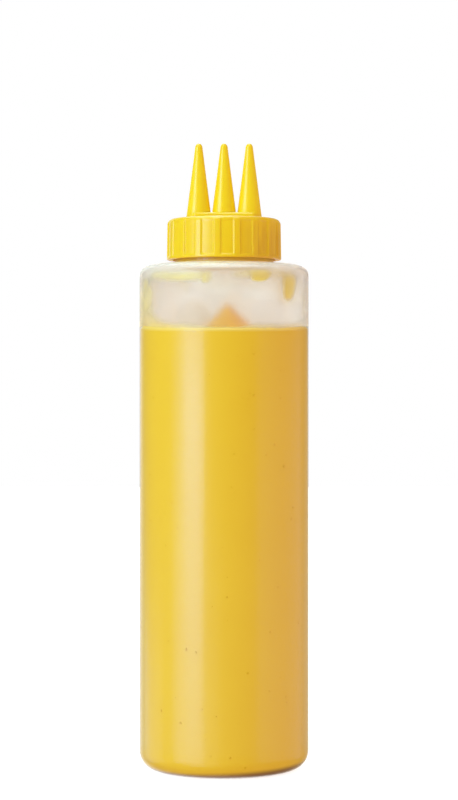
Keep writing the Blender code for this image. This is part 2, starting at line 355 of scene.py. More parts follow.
def sauceLook(name, body, deep, specular, roughness, mound=None):
    # a smooth sauce with a slow cloud and a fine grain; with a mound tone also a painted highlight along the
    # edge, painted shade up the mound and a painted contact shadow at the base
    look = {
        "ior": 1.45, "cloudScale": 34.0, "cloud": (0.35, 0.68), "cloudShare": 0.45,
        "grainScale": (420, 420, 760), "grain": (0.60, 0.78), "grainShare": 0.16,
        "grainTone": (0.85, 0.78, 1), "wallDepth": (3 * mm, 1 * mm), "moundFrom": 0.5 * mm,
        "moundTo": 3 * mm, "underShare": 0.97,
    }
    material, shader, place = startMaterial(name, {
        "Roughness": roughness, "Specular IOR Level": specular, "IOR": look["ior"],
    })
    slow = ramp(noise(place, look["cloudScale"]), *look["cloud"])
    fine = ramp(noise(stretched(place, look["grainScale"]), 1.0), *look["grain"])
    grain = tuple(c * share for c, share in zip(deep, look["grainTone"])) + (1,)
    base = mixColour(fine * look["grainShare"], mixColour(slow * look["cloudShare"], body, deep), grain)
    if mound:
        x, y, height = (axisOf(place, axis) for axis in "XYZ")
        # painted highlight: a paler band along the contact line next to the wall
        atWall = ramp(x * x + y * y, *((bottle["radius"] - depth) ** 2 for depth in look["wallDepth"]))
        base = mixColour(overLine(place, *sauce["lineHighlightBand"]) * atWall, base, sauce["lineHighlight"])
        # painted shade: the sauce turns more orange up the mound, which lies in shadow behind the milky wall
        onMound = ramp(height, sauce["level"] + look["moundFrom"], sauce["level"] + look["moundTo"])
        base = mixColour(onMound, base, mound)
        # painted contact shadow: the lowest sauce is darkened, more so towards +X, away from the key light
        under = fall(height - x * sauce["shadowLean"], sauce["darkFrom"], sauce["darkTo"])
        base = mixColour(under * look["underShare"], base, sauce["under"])
    plug(shader, "Base Color", base)
    return material


def capPlastic():
    # a clouded yellow, with painted light up the nozzles and fine dull streaks low on the right ribs, partly
    # dirt and partly painted shade
    look = {
        "yellow": (0.97, 0.70, 0.012, 1), "deep": (0.94, 0.63, 0.010, 1),
        "cloudScale": 120.0, "cloudDetail": 3.0, "roughness": 0.27, "ior": 1.47,
        "glow": 0.25, "glowReach": (0.6, 0.45, 0.08), "glowScale": 1.5 * mm,
        # the nozzles' lighter tone is painted light; the dull streak tone is partly dirt and partly painted
        # shade
        "nozzleLight": (0.985, 0.725, 0.012, 1), "nozzleLightHeight": (221 * mm, 226 * mm),
        "dirtAndShade": (0.78, 0.47, 0.012, 1), "dirtAndShadeRight": (2 * mm, 18 * mm),
        "dirtAndShadeFront": (-8 * mm, 8 * mm), "dirtAndShadeHeight": (213 * mm, 225 * mm),
        "streakScale": (420, 420, 50), "streaks": (0.12, 0.62),
        "grain": (1500.0, 0.06, 0.1 * mm),
    }
    material, shader, place = startMaterial("capPlastic", {
        "Roughness": look["roughness"], "IOR": look["ior"], "Subsurface Weight": look["glow"],
        "Subsurface Radius": look["glowReach"], "Subsurface Scale": look["glowScale"],
    })
    x, y, height = (axisOf(place, axis) for axis in "XYZ")
    cloud = noise(place, look["cloudScale"], look["cloudDetail"])
    base = mixColour(cloud, look["yellow"], look["deep"])
    # painted light: the nozzles lighter upwards
    base = mixColour(ramp(height, *look["nozzleLightHeight"]), base, look["nozzleLight"])
    # dull streaks on the lower right front of the skirt: partly dirt, partly painted shade
    streaks = ramp(noise(stretched(place, look["streakScale"]), 1.0), *look["streaks"])
    dirtAndShade = ramp(x, *look["dirtAndShadeRight"]) * ramp(-y, *look["dirtAndShadeFront"]) * streaks \
        * fall(height, *look["dirtAndShadeHeight"])
    plug(shader, "Base Color", mixColour(dirtAndShade, base, look["dirtAndShade"]))
    plug(shader, "Normal", grainBump(place, *look["grain"]))
    return material


def speckLook():
    look = {"brown": (0.72, 0.415, 0.003, 1), "olive": (0.75, 0.455, 0.004, 1),
            "patchScale": 90.0, "patch": (0.45, 0.55)}
    material, shader, place = startMaterial("sauceSpecks", {"Roughness": 0.5, "Specular IOR Level": 0.0})
    pick = ramp(noise(place, look["patchScale"], 0.0), *look["patch"])
    plug(shader, "Base Color", mixColour(pick, look["brown"], look["olive"]))
    return material


def filmLook(name, colour, most, left=None):
    # thin sauce on the wall, see-through where it runs out: alpha = most * film * (streakLeast + streakGain
    # * streak), with film read from the mesh
    look = {
        "roughness": 0.4, "specular": 0.1,
        "streakScale": (260, 260, 90), "streakDetail": 3.0, "streakLeast": 0.7, "streakGain": 0.6,
        "shadeScale": 150.0, "shadeDim": 0.93,
        "leftEnd": (-27 * mm, -8 * mm), "overFoot": (0.7 * mm, 1.3 * mm),
    }
    material, shader, place = startMaterial(name, {
        "Roughness": look["roughness"], "Specular IOR Level": look["specular"],
    })
    film = addNode(place.tree, "ShaderNodeAttribute", {"attribute_name": "film"}, {}, "Fac")
    streak = noise(stretched(place, look["streakScale"]), 1.0, look["streakDetail"])
    cover = film * (streak * look["streakGain"] + look["streakLeast"])
    plug(shader, "Alpha", cover.math("MULTIPLY", most, use_clamp=True))
    tone = mixColour(noise(place, look["shadeScale"]), colour, dimmed(colour, look["shadeDim"]))
    if left:  # the tide: its foot takes the sauce's own tones with their painted highlight at the line, and its left end is thicker
        tone = mixColour(ramp(axisOf(place, "X"), *look["leftEnd"]), left, tone)
        foot = mixColour(overLine(place, *sauce["lineHighlightBand"]), sauce["body"], sauce["lineHighlight"])
        tone = mixColour(overLine(place, *look["overFoot"]), foot, tone)
    plug(shader, "Base Color", tone)
    return material


# the bottle

bottle = {
    "radius": bottleHigh.x, "wall": 1.1 * mm, "segments": 192,
    "baseCorner": 7.4 * mm, "recessRadius": 21.5 * mm, "recess": 1.8 * mm, "ringInner": 23.5 * mm,
    "recessSteps": 4, "cornerSteps": 12, "floorExtra": 0.5 * mm,
    "shoulderZ": 199.0 * mm, "shoulderWidth": 5.8 * mm, "shoulderRise": 4.2 * mm, "shoulderTop": 203.5 * mm,
    "collarRadius": 19.9 * mm, "collarTop": 206.4 * mm, "neckRadius": 19.2 * mm, "neckBore": 17.8 * mm,
    "neckTop": bottleHigh.z, "fillet": 0.7 * mm,
    "threadPitch": 4.0 * mm, "threadStart": 210.6 * mm, "threadTurns": 1.25, "threadHeight": 0.9 * mm,
    "threadWidth": 1.2 * mm, "threadSides": (0.25, 0.6), "threadFade": 0.08,
    "wetTo": 176.9 * mm, "wetBlend": 12.0 * mm,
}


def wallLine(inset, extra):
    # the body's outline from the recess's edge to the top of the shoulder, moved inward by inset
    b = bottle
    corner, steps = b["baseCorner"], b["cornerSteps"]
    wallR = b["radius"] - inset
    recessEdge = (b["recessRadius"] - inset, b["recess"] + inset + extra)
    return joinRuns(
        straight(recessEdge, (b["ringInner"], inset + extra / 2), b["recessSteps"]),
        ellipseArc(b["radius"] - corner, corner, corner - inset, corner - inset, -90, 0, steps),
        straight((wallR, corner), (wallR, b["wetTo"]), 24),
        straight((wallR, b["wetTo"]), (wallR, b["shoulderZ"]), 12),
        ellipseArc(b["radius"] - b["shoulderWidth"], b["shoulderZ"], b["shoulderWidth"] - inset,
                   b["shoulderRise"] - inset, 0, 90, steps),
    )


def wallRadius(z, inset):
    # the radius at each height, read off the wall's outline moved inward by inset
    line = wallLine(inset, bottle["floorExtra"])[bottle["recessSteps"]:]
    return np.interp(z, line[:, 1], line[:, 0])


def threadLift(t, z):
    # a helical ridge: height * bump(distance from start + pitch * turn), faded at both ends
    b = bottle
    lift = np.zeros(np.broadcast(t, z).shape)
    for whole in range(math.ceil(b["threadTurns"]) + 1):
        turns = t / (2 * np.pi) + whole
        away = np.abs(z - b["threadStart"] - b["threadPitch"] * turns)
        crest, foot = (share * b["threadWidth"] for share in b["threadSides"])
        ends = smoothStep(turns, 0, b["threadFade"]) \
            * smoothStep(-turns, -b["threadTurns"], b["threadFade"] - b["threadTurns"])
        lift = np.maximum(lift, ends * (1 - smoothStep(away, crest, foot)))
    return lift * b["threadHeight"]


def makeBottle():
    # the outer outline up and the inner one down, turned; the neck grows by 1 + thread / r, and on the body
    # z += (contact height - level) (1 - |z - wetTo| / wetBlend), so that rows follow the contact line
    b, fillet = bottle, bottle["fillet"]
    outerFoot, neckFoot = b["shoulderTop"] + fillet, b["collarTop"] + fillet
    floorZ, innerTop = b["recess"] + b["wall"] + b["floorExtra"], b["shoulderTop"] - b["wall"]
    outer = joinRuns(
        straight((poleRadius, b["recess"]), (b["recessRadius"], b["recess"]), 6),
        wallLine(0, 0),
        ellipseArc(b["collarRadius"] + fillet, outerFoot, fillet, fillet, 270, 180, 5),
        straight((b["collarRadius"], outerFoot), (b["collarRadius"], b["collarTop"]), 3),
        straight((b["collarRadius"], b["collarTop"]), (b["neckRadius"], neckFoot), 3),
        straight((b["neckRadius"], neckFoot), (b["neckRadius"], b["neckTop"]), 50),
    )
    inner = joinRuns(
        straight((poleRadius, floorZ), (b["recessRadius"] - b["wall"], floorZ), 6),
        wallLine(b["wall"], b["floorExtra"]),
        ellipseArc(b["neckBore"] + fillet, innerTop + fillet, fillet, fillet, 270, 180, 5),
        straight((b["neckBore"], innerTop + fillet), (b["neckBore"], b["neckTop"]), 12),
    )
    grid = turnProfile(joinRuns(outer, inner[::-1]), b["segments"])
    t = fullTurn(b["segments"])
    z = grid[:, :, 2]
    radius = np.hypot(grid[:, :, 0], grid[:, :, 1])
    threaded = (np.abs(radius - b["neckRadius"]) < hair) & (z > neckFoot)
    grid[:, :, :2] *= (1 + np.where(threaded, threadLift(t[None, :], z), 0) / radius)[:, :, None]
    onBody = radius > b["radius"] - 1.5 * b["wall"]  # its outer and its inner face
    wetAbove = np.where((np.abs(z - b["wetTo"]) < hair).any(axis=1))[0]
    near = np.clip(1 - np.abs(z - b["wetTo"]) / b["wetBlend"], 0, 1)
    grid[:, :, 2] += np.where(onBody, near, 0) * (contactHeight(t) - sauce["level"])[None, :]
    piece = closedTurn("bottleShell", grid)
    piece.data.materials.append(wettedPlastic())
    piece.data.materials.append(frostedPlastic())
    row = np.arange(len(piece.data.polygons)) // b["segments"]  # quads come row by row, the fans after them
    middles = np.empty(len(row) * 3)
    piece.data.polygons.foreach_get("center", middles)
    dry = (row >= wetAbove[0]) & (row < wetAbove[-1]) & (middles[2::3] < outerFoot)  # the neck is wet again
    piece.data.polygons.foreach_set("material_index", dry.astype(int))
    piece.visible_shadow = False  # light goes through it to the sauce
    piece.visible_diffuse = False  # else the wall turns back the sauce's own light and its edge goes dark
    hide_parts("bottle")
    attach(piece, "root")


# the sauce

sauce = {
    "intoWall": 0.75 * mm, "level": 175.95 * mm, "segments": 192, "rows": 60, "rowSpread": 0.8,
    "sideEnd": 1 * mm,  # the side stops this far below the level
    "sideRise": 1.4 * mm, "unevenness": 0.1 * mm,
    "wobble": ((5, 1.0, 0.8), (11, 0.6, 2.1), (23, 0.4, 0.0)),  # waves in a turn, size, phase
    "moundHeight": 12.2 * mm, "moundRadius": 14.0 * mm, "moundX": 1.4 * mm, "moundPower": 1.35,
    "moundRound": 0.6 * mm,
    "ripple": 0.3 * mm, "rippleSin": (150, 40), "rippleCos": (-60, 110), "rippleCalm": 4 * mm,
    "meniscus": 0.5 * mm, "meniscusReach": 1.6 * mm,
    "body": (0.89, 0.585, 0.020, 1), "deep": (0.87, 0.56, 0.016, 1), "specular": 0.15, "roughness": 0.4,
    # mound: a more orange tone, painted shade; the pale tone along the contact line is a painted highlight;
    # the dark tone at the foot is a painted contact shadow, darker towards +X
    "mound": (0.96, 0.52, 0.015, 1), "lineHighlight": (0.92, 0.69, 0.17, 1), "lineHighlightBand": (-0.9 * mm, 0.65 * mm),
    "under": (0.26, 0.115, 0.01, 1), "darkFrom": 1.0 * mm, "darkTo": 3.6 * mm, "shadowLean": 0.045,
}


def finishAsSauce(piece, look):
    piece.data.materials.append(look)
    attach(piece, "root")


def contactHeight(t):
    # level + rise * sin^4 t + small waves whose lengths divide the turn
    s = sauce
    wobble = sum(size * np.sin(count * t + phase) for count, size, phase in s["wobble"])
    return s["level"] + s["sideRise"] * np.sin(t) ** 4 + s["unevenness"] * wobble


def sauceTop(x, y):
    # a floor below the contact line + ripples sin(k . p) cos(m . p) + a mound (1 - d / R)^power
    # + a lip that climbs the wall by exp(-inward / reach)
    s = sauce
    away = np.hypot(np.hypot(x - s["moundX"], y), s["moundRound"]) - s["moundRound"]
    mound = s["moundHeight"] * np.clip(1 - away / s["moundRadius"], 0, 1) ** s["moundPower"]
    inward = np.clip(wallRadius(s["level"], bottle["wall"]) - np.hypot(x, y), 0, None)
    (kx, ky), (mx, my) = s["rippleSin"], s["rippleCos"]
    ripple = np.sin(kx * x + ky * y) * np.cos(mx * x + my * y) * (1 - np.exp(-inward / s["rippleCalm"]))
    lip = contactHeight(np.arctan2(x, -y)) - s["level"] + s["meniscus"]
    climb = np.exp(-inward / s["meniscusReach"])
    return s["level"] - s["meniscus"] + s["ripple"] * ripple + mound + lip * climb


def makeSauce():
    # the wall's outline turned, reaching just into the wall, then rings of the top whose radius falls as
    # 1 - s^rowSpread while their centre moves to the mound
    s = sauce
    side = wallLine(bottle["wall"] - s["intoWall"], bottle["floorExtra"])
    side = side[side[:, 1] < s["level"] - s["sideEnd"]]
    side = joinRuns(straight((poleRadius, side[0, 1]), side[0], 4), side)
    share = 1 - np.linspace(0, 1, s["rows"])[:-1, None] ** s["rowSpread"]
    t = fullTurn(s["segments"])
    x = side[-1, 0] * share * np.sin(t) + s["moundX"] * (1 - share)
    y = -side[-1, 0] * share * np.cos(t)
    top = np.stack([x, y, sauceTop(x, y)], axis=2)
    piece = closedTurn("sauceBody", np.concatenate([turnProfile(side, s["segments"]), top]), 60)
    look = sauceLook("sauceLook", s["body"], s["deep"], s["specular"], s["roughness"], s["mound"])
    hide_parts("sauce")
    finishAsSauce(piece, look)


# specks of spice in the sauce

specks = {
    # turn in degrees from the front, height and radius in mm
    "placed": (
        (44.3, 122.6, 0.60), (15.8, 42.1, 0.42), (-26.0, 51.2, 0.60), (-19.0, 50.2, 0.58),
        (-55.9, 149.5, 0.40), (6.6, 127.6, 0.28), (35.9, 131.1, 0.40), (29.0, 127.1, 0.34),
        (53.8, 106.2, 0.42), (51.9, 101.8, 0.36), (4.8, 114.7, 0.34), (4.1, 9.2, 0.50), (14.4, 5.2, 0.38),
        (-33.0, 98.5, 0.32), (24.0, 86.0, 0.32), (-8.0, 68.0, 0.30), (61.0, 60.0, 0.34), (-47.0, 26.2, 0.52),
        (-30.3, 22.2, 0.46), (-14.8, 27.9, 0.36), (-5.2, 25.3, 0.40), (-8.8, 9.7, 0.32), (31.8, 34.6, 0.38),
        (46.2, 31.8, 0.38), (20.1, 150.7, 0.36), (20.1, 166.7, 0.34), (41.1, 160.4, 0.36),
        (41.1, 149.5, 0.36), (20.3, 137.4, 0.32), (64.1, 137.0, 0.36), (2.0, 71.8, 0.40), (2.0, 79.6, 0.36),
        (38.8, 75.3, 0.38), (32.2, 57.7, 0.40), (-40.6, 53.8, 0.38)),
    "others": 150, "smallest": 0.13, "largest": 0.36, "lowest": 6.0, "highest": 173.0,
    "long": (0.9, 1.5), "wide": (0.7, 1.1), "flat": 0.5, "around": 8, "along": 5,
}


def makeSpecks():
    # each speck: a small ball (cos u sin v, sin u sin v, cos v), stretched, tilted and flattened, in the
    # sauce's skin; the placed ones first, then others of size smallest + (largest - smallest) s^2
    c = specks
    others = np.column_stack([
        rng.uniform(-180, 180, c["others"]), rng.uniform(c["lowest"], c["highest"], c["others"]),
        c["smallest"] + (c["largest"] - c["smallest"]) * rng.random(c["others"]) ** 2])
    turn, height, size = np.concatenate([np.array(c["placed"]), others]).T
    t, z, size = np.radians(turn), height * mm, size * mm
    long, wide = size * rng.uniform(*c["long"], len(size)), size * rng.uniform(*c["wide"], len(size))
    tilt = rng.uniform(0, np.pi, len(size))[:, None]
    outward = np.stack([np.sin(t), -np.cos(t), 0 * t], axis=1)
    across, up = np.stack([np.cos(t), np.sin(t), 0 * t], axis=1), np.array([0, 0, 1.0])
    radius = wallRadius(z, bottle["wall"] - sauce["intoWall"])
    centre = np.stack([radius * np.sin(t), -radius * np.cos(t), z], axis=1)
    axes = np.stack([
        (across * np.cos(tilt) + up * np.sin(tilt)) * long[:, None],
        (-across * np.sin(tilt) + up * np.cos(tilt)) * wide[:, None],
        outward * (c["flat"] * size)[:, None]], axis=1)
    u, v = np.meshgrid(fullTurn(c["around"]), np.linspace(0, np.pi, c["along"] + 2)[1:-1])
    ball = np.stack([np.cos(u) * np.sin(v), np.sin(u) * np.sin(v), np.cos(v)], axis=2).reshape(-1, 3)
    ball = np.concatenate([ball, [[0, 0, 1], [0, 0, -1]]])
    points = centre[:, None] + np.einsum("pk,skx->spx", ball, axes)
    first = len(ball) * np.arange(len(size))[:, None, None]  # each speck's first vertex
    quads = (first + wrapFaces(c["along"], c["around"])).reshape(-1, 4)
    fans = (first + poleFans(c["along"], c["around"])).reshape(-1, 3)
    finishAsSauce(meshFrom("sauceSpecks", points, quads.tolist() + fans.tolist(), 180), speckLook())


# sauce left on the wall of the headspace

filmGap = 0.03 * mm  # between the wall and the films on it, so that neither lies in the other


def wallSpot(t, z, inward):
    # the place on the inner wall at turn t and height z, moved inward
    r = wallRadius(z, bottle["wall"]) - inward
    return np.stack([r * np.sin(t), -r * np.cos(t), z + 0 * t], axis=-1)


def coverWith(piece, film, look):
    # film: how dense the sauce is at each point of the face on the wall; the inner face shows nothing
    values = np.concatenate([film, 0 * film]).ravel().astype(np.float32)
    piece.data.attributes.new("film", "FLOAT", "POINT").data.foreach_set("value", values)
    finishAsSauce(piece, look)


def layOnWall(name, t, z, inward, film, look):
    # a thin closed shell between the wall and the same spots moved inward
    grids = np.concatenate([wallSpot(t, z, filmGap), wallSpot(t, z, inward)])
    coverWith(meshFrom(name, grids, shellFaces(*t.shape).tolist(), 60), film, look)


def ringWaves(t, c):
    # uneven waves that close on themselves round the bottle
    return waves(np.cos(t) * c["waves"], np.sin(t) * c["waves"], c["seed"])


drips = {
    # turn and half width in degrees, top and bottom in mm, thickness in mm, how much the tip narrows, density
    "goldenDrip": (24.6, 11.5, 200.4, 194.4, 0.4, 0.35, 1.0),
    "tongueDrip": (50.2, 10.3, 200.6, 186.3, 0.35, 0.3, 0.9),
    "leftDrip": (-12.4, 5.0, 200.0, 193.4, 0.1, 0.2, 0.38),
    "edgeDrip": (-70.0, 9.5, 199.0, 188.5, 0.25, 0.4, 0.6),
    "backDrip": (128.0, 10.0, 201.0, 186.5, 0.45, 0.45, 0.85),
    "backSmallDrip": (-150.0, 6.0, 200.5, 192.0, 0.35, 0.4, 0.75),
    "sideDrip": (-112.0, 8.0, 201.0, 184.0, 0.4, 0.5, 0.8),
}
dripShape = {
    "columns": 33, "rows": 36, "wander": 0.08, "wanderWaves": 5, "topSwell": 0.35, "least": 0.02 * mm,
    "fadeIn": 0.35, "fadeOut": 0.7, "colour": (0.90, 0.73, 0.05, 1), "most": 1.25,
}


def makeDrips():
    # each drip: half width w(s) = W sqrt(1 - s^4) (1 - n s), thickness T (1 - u^2)^1.5 that swells towards
    # the tip, film = dense (1 - u^2) * (fade in from the top) * (fade out over the last of s)
    d = dripShape
    look = filmLook("drippedSauce", d["colour"], d["most"])
    u, s = np.meshgrid(np.linspace(-1, 1, d["columns"]), np.sin(np.linspace(0, 0.5 * np.pi, d["rows"])))
    bulge = np.clip(1 - u**2, 0, 1)
    for name, (turn, halfWidth, top, bottom, thick, narrow, dense) in drips.items():
        width = halfWidth * np.sqrt(np.clip(1 - s**4, 0, 1)) * (1 - narrow * s)
        wander = d["wander"] * halfWidth * np.sin(d["wanderWaves"] * s + turn)
        t, z = np.radians(turn + wander + u * width), (top + (bottom - top) * s) * mm
        swell = (d["topSwell"] + (1 - d["topSwell"]) * s) * np.sqrt(np.clip(1 - s**6, 0, 1))
        inward = filmGap + d["least"] + thick * mm * bulge ** 1.5 * swell
        film = dense * smoothStep(s, 0, d["fadeIn"]) * bulge * smoothStep(-s, -1, -d["fadeOut"])
        layOnWall(name, t, z, inward, film, look)


films = {
    # first and last turn in degrees, lowest and highest in mm, density, drop towards its last turn in mm
    "leftSmear": (-64.0, -6.5, 195.2, 200.8, 0.82, 1.1),
    "rightSmear": (3.0, 66.0, 195.6, 200.6, 0.42, 0.0),
    "edgeSmear": (-98.0, -56.0, 179.0, 197.0, 1.3, 0.0),
    "rightEdgeSmear": (66.0, 98.0, 178.0, 196.5, 0.55, 0.0),
    "backSmear": (100.0, 262.0, 194.0, 201.6, 0.25, 0.0),
}
filmShape = {
    "columnsPerDegree": 1.5, "leastColumns": 8, "rows": 24, "thick": 0.08 * mm, "even": 0.85, "uneven": 0.35,
    "wavesAround": 9, "wavesUp": 0.35, "firstSeed": 40, "colour": (0.86, 0.72, 0.13, 1), "most": 0.9,
}


def makeFilms():
    # thin shells on the wall: film = dense (1 - u^4) (1 - v^2)^1.6 (even + uneven waves)
    f = filmShape
    look = filmLook("smearedSauce", f["colour"], f["most"])
    for seed, (name, (first, last, low, high, dense, drop)) in enumerate(films.items(), f["firstSeed"]):
        columns = int((last - first) * f["columnsPerDegree"]) + f["leastColumns"]
        u, v = np.meshgrid(np.linspace(-1, 1, columns), np.linspace(-1, 1, f["rows"]))
        t = np.radians(first + (last - first) * (u + 1) / 2)
        z = (low + (high - low) * (v + 1) / 2 - drop * (u + 1) / 2) * mm
        ragged = f["even"] + f["uneven"] * waves(t * f["wavesAround"], z / mm * f["wavesUp"], seed)
        body = np.clip(1 - u**4, 0, 1) * np.clip(1 - v**2, 0, 1) ** 1.6
        layOnWall(name, t, z, filmGap + f["thick"], np.clip(dense * body * ragged, 0, 1), look)


tideFilm = {
    "frontHeight": 1.25 * mm, "height": 3.8 * mm, "frontSpread": (5.0, 25.0), "leftHeight": 20.0 * mm,
    "leftTurn": -78.0, "leftSpread": 20.0, "below": 0.4 * mm, "thick": 0.1 * mm, "thinning": 0.7,
    "full": 0.6 * mm, "uneven": 0.12, "waves": 3, "seed": 11, "behindSkin": 0.03 * mm,
    "segments": 192, "rows": 30,
    "upper": (0.88, 0.77, 0.31, 1), "leftUpper": (0.90, 0.66, 0.06, 1), "most": 1.05,
}


def makeTideFilm():
    # a ring of thin sauce just above the contact line, from the sauce's own skin back to the wall's face;
    # film is 1 as far as full, then (share of the height that is left)^1.6
    c = tideFilm
    t = fullTurn(c["segments"])
    line = contactHeight(t)
    fromLeft = (np.degrees(t) - c["leftTurn"] + 180) % 360 - 180
    fromFront = np.abs((np.degrees(t) + 180) % 360 - 180)
    plain = c["frontHeight"] + (c["height"] - c["frontHeight"]) * smoothStep(fromFront, *c["frontSpread"])
    reach = plain * (1 + c["uneven"] * ringWaves(t, c)) \
        + c["leftHeight"] * np.exp(-((fromLeft / c["leftSpread"]) ** 2))
    s = np.linspace(0, 1, c["rows"])[:, None]
    z = line - c["below"] + s**1.6 * (reach + c["below"])
    over = np.clip((z - line) / (bottle["wetTo"] - sauce["level"]), 0, 1)
    atLine = c["behindSkin"] - sauce["intoWall"]
    outer = wallSpot(t[None, :], z, atLine + (filmGap - atLine) * over)
    inner = wallSpot(t[None, :], z, filmGap + c["thick"] * (1 - c["thinning"] * s) * np.ones_like(z))
    film = np.clip((line + reach - z) / (reach - c["full"]), 0, 1) ** 1.6
    look = filmLook("tideFilmLook", c["upper"], c["most"], c["leftUpper"])
    coverWith(ringTurn("tideFilm", np.concatenate([outer, inner[::-1]]), 60), film, look)


neckFilm = {
    "low": 202.6 * mm, "high": 215.0 * mm, "underSkin": 0.15 * mm, "thick": 0.5 * mm, "thickAtTop": 0.3,
    "segments": 128, "uneven": 0.008, "waves": 4, "seed": 5,
    "colour": (0.84, 0.57, 0.03, 1), "deep": (0.79, 0.49, 0.025, 1), "specular": 0.3, "roughness": 0.4,
}


def makeNeckFilm():
    # sauce that coats the bore of the neck, thinner upwards; the thick neck magnifies it to nearly its full
    # width, so it starts just under the neck's skin; its inner radius is r (1 + uneven waves)
    c = neckFilm
    collar, neck = bottle["collarRadius"] - c["underSkin"], bottle["neckRadius"] - c["underSkin"]
    outer = joinRuns(
        straight((collar, c["low"]), (collar, bottle["collarTop"] - c["underSkin"]), 5),
        straight((neck, bottle["collarTop"]), (neck, c["high"]), 7),
    )
    inner = straight((bottle["neckBore"] - c["thickAtTop"] * c["thick"], c["high"]),
                     (bottle["neckBore"] - c["thick"], c["low"]), 12)
    grid = turnProfile(joinRuns(outer, inner), c["segments"])
    ragged = 1 + c["uneven"] * ringWaves(fullTurn(c["segments"]), c)
    grid[len(outer):, :, :2] *= ragged[None, :, None]
    look = sauceLook("driedSauce", c["colour"], c["deep"], c["specular"], c["roughness"])
    finishAsSauce(ringTurn("neckFilm", grid), look)


# the cap

cap = {
    "bottom": capLow.z, "top": 221.7 * mm, "radius": 23.1 * mm, "draft": 0.2 * mm, "corner": 2.3 * mm,
    "lip": 1.1 * mm, "lipCorner": 0.45 * mm, "bore": 20.9 * mm, "plate": 1.6 * mm,
    "ribs": 18, "ribDepth": 0.5 * mm, "ribStart": 8.9, "ribWidth": 8.5, "ribSide": 1.6, "segments": 720,
    "lipFade": (0.9, 1.3), "cornerFade": (1.0, 0.25),  # shares of lip and corner where the recesses run out
    "barTop": 224.3 * mm, "barHalfLength": 13.0 * mm, "barHalfDepth": 5.6 * mm, "barCorner": 2.0 * mm,
    "barEdge": 1.2 * mm, "intoPlate": 0.8 * mm,
    "nozzleSpacing": 10.2 * mm, "nozzleFoot": 5.18 * mm, "taper": 0.1275, "tipZ": capHigh.z,
    "tipRise": 2.1 * mm, "coneEnd": 0.3 * mm, "domeStart": 6, "outlet": 0.45 * mm, "outletDepth": 4 * mm,
    "nozzleBore": 2.2 * mm, "boreDepth": 16 * mm, "rim": 0.1 * mm, "nozzleSegments": 72,
}


def ribShape(t):
    # 1 on a rib's crest, 0 in the recess between ribs, with sides of ribSide degrees
    c = cap
    degrees = (np.degrees(t) - c["ribStart"]) % (360 / c["ribs"])
    up = smoothStep(degrees, 0, c["ribSide"])
    down = 1 - smoothStep(degrees, c["ribWidth"] - c["ribSide"], c["ribWidth"])
    return up * down


def makeCapSkirt():
    # the plate's underside, the bore and the outside, turned; outside, r falls by ribDepth (1 - rib), faded
    # out at the lip and the top corner
    c = cap
    topR, plateZ, lipR = c["radius"] - c["draft"], c["top"] - c["plate"], c["radius"] - c["lipCorner"]
    within = joinRuns(
        straight((poleRadius, plateZ), (c["bore"], plateZ), 4),
        straight((c["bore"], plateZ), (c["bore"], c["bottom"]), 12),
        straight((c["bore"], c["bottom"]), (lipR, c["bottom"]), 3),
    )
    outline = joinRuns(
        within,
        ellipseArc(lipR, c["bottom"] + c["lipCorner"], c["lipCorner"], c["lipCorner"], -90, 0, 6),
        straight((c["radius"], c["bottom"] + c["lipCorner"]), (topR, c["top"] - c["corner"]), 40),
        ellipseArc(topR - c["corner"], c["top"] - c["corner"], c["corner"], c["corner"], 0, 90, 14),
        straight((topR - c["corner"], c["top"]), (poleRadius, c["top"]), 6),
    )
    grid = turnProfile(outline, c["segments"])
    radius, z = np.hypot(grid[:, :, 0], grid[:, :, 1]), grid[:, :, 2]
    onSkirt = (np.arange(len(outline))[:, None] >= len(within)) & (radius > c["bore"] - 1 * mm)
    lipFade = smoothStep(z, *(c["bottom"] + share * c["lip"] for share in c["lipFade"]))
    cornerFade = 1 - smoothStep(z, *(c["top"] - share * c["corner"] for share in c["cornerFade"]))
    recess = (1 - ribShape(fullTurn(c["segments"])))[None, :]
    depth = np.where(onSkirt, c["ribDepth"] * recess * lipFade * cornerFade, 0)
    grid[:, :, :2] *= (1 - depth / radius)[:, :, None]
    return closedTurn("capSkirt", grid, 50)


def makeBar():
    # a rectangle with round corners, drawn in at the top by a quarter round: inward = edge (1 - cos a),
    # height = top - edge (1 - sin a)
    c = cap
    middleX, middleY = c["barHalfLength"] - c["barCorner"], c["barHalfDepth"] - c["barCorner"]
    corners = ((1, 1, 0), (-1, 1, 90), (-1, -1, 180), (1, -1, 270))
    outline = np.concatenate([
        ellipseArc(sx * middleX, sy * middleY, c["barCorner"], c["barCorner"], start, start + 90, 12)
        for sx, sy, start in corners])
    edge = np.radians(np.linspace(0, 90, 8))
    inward = np.concatenate([[0, 0], c["barEdge"] * (1 - np.cos(edge))])[:, None, None]
    heights = np.concatenate([[c["top"] - c["intoPlate"], c["barTop"] - 2 * c["barEdge"]],
                              c["barTop"] - c["barEdge"] * (1 - np.sin(edge))])
    centre = np.sign(outline) * np.array([middleX, middleY])
    xy = centre + (outline - centre) * ((c["barCorner"] - inward) / c["barCorner"])
    z = np.broadcast_to(heights[:, None, None], xy.shape[:2] + (1,))
    return closedTurn("nozzleBar", np.concatenate([xy, z], axis=2), 60)


def coneRadius(z):
    # foot - taper (z - the cap's top)
    return cap["nozzleFoot"] - cap["taper"] * (z - cap["top"])


